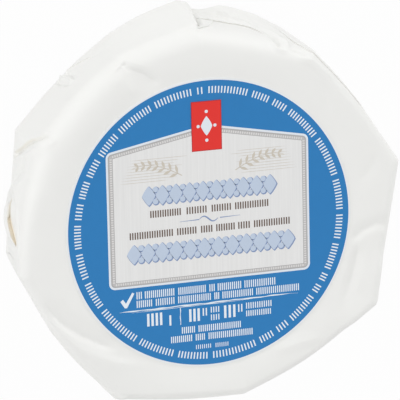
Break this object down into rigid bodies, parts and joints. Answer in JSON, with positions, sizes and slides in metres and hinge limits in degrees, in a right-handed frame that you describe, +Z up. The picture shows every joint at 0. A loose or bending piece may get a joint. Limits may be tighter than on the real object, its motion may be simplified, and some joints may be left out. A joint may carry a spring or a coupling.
{
  "type": "paper-wrapped goat brie",
  "caption": "Small round soft goat cheese in folded white paper wrap, with a flat round blue label on top.",
  "frame": {"origin": "middle of the base of the pack's box", "axes": "+Z up out of the label, +X along the label's reading direction, +Y towards the label's top"},
  "size_m": [0.1019, 0.1001, 0.0243],
  "materials": {
    "wrap_paper": "white coated wrap, satin",
    "label_paper": "printed paper label, satin, blue ground"
  },
  "bodies": {
    "root": {"wrapped_wheel": "wrap_paper", "label": "label_paper"}
  },
  "joints": []
}
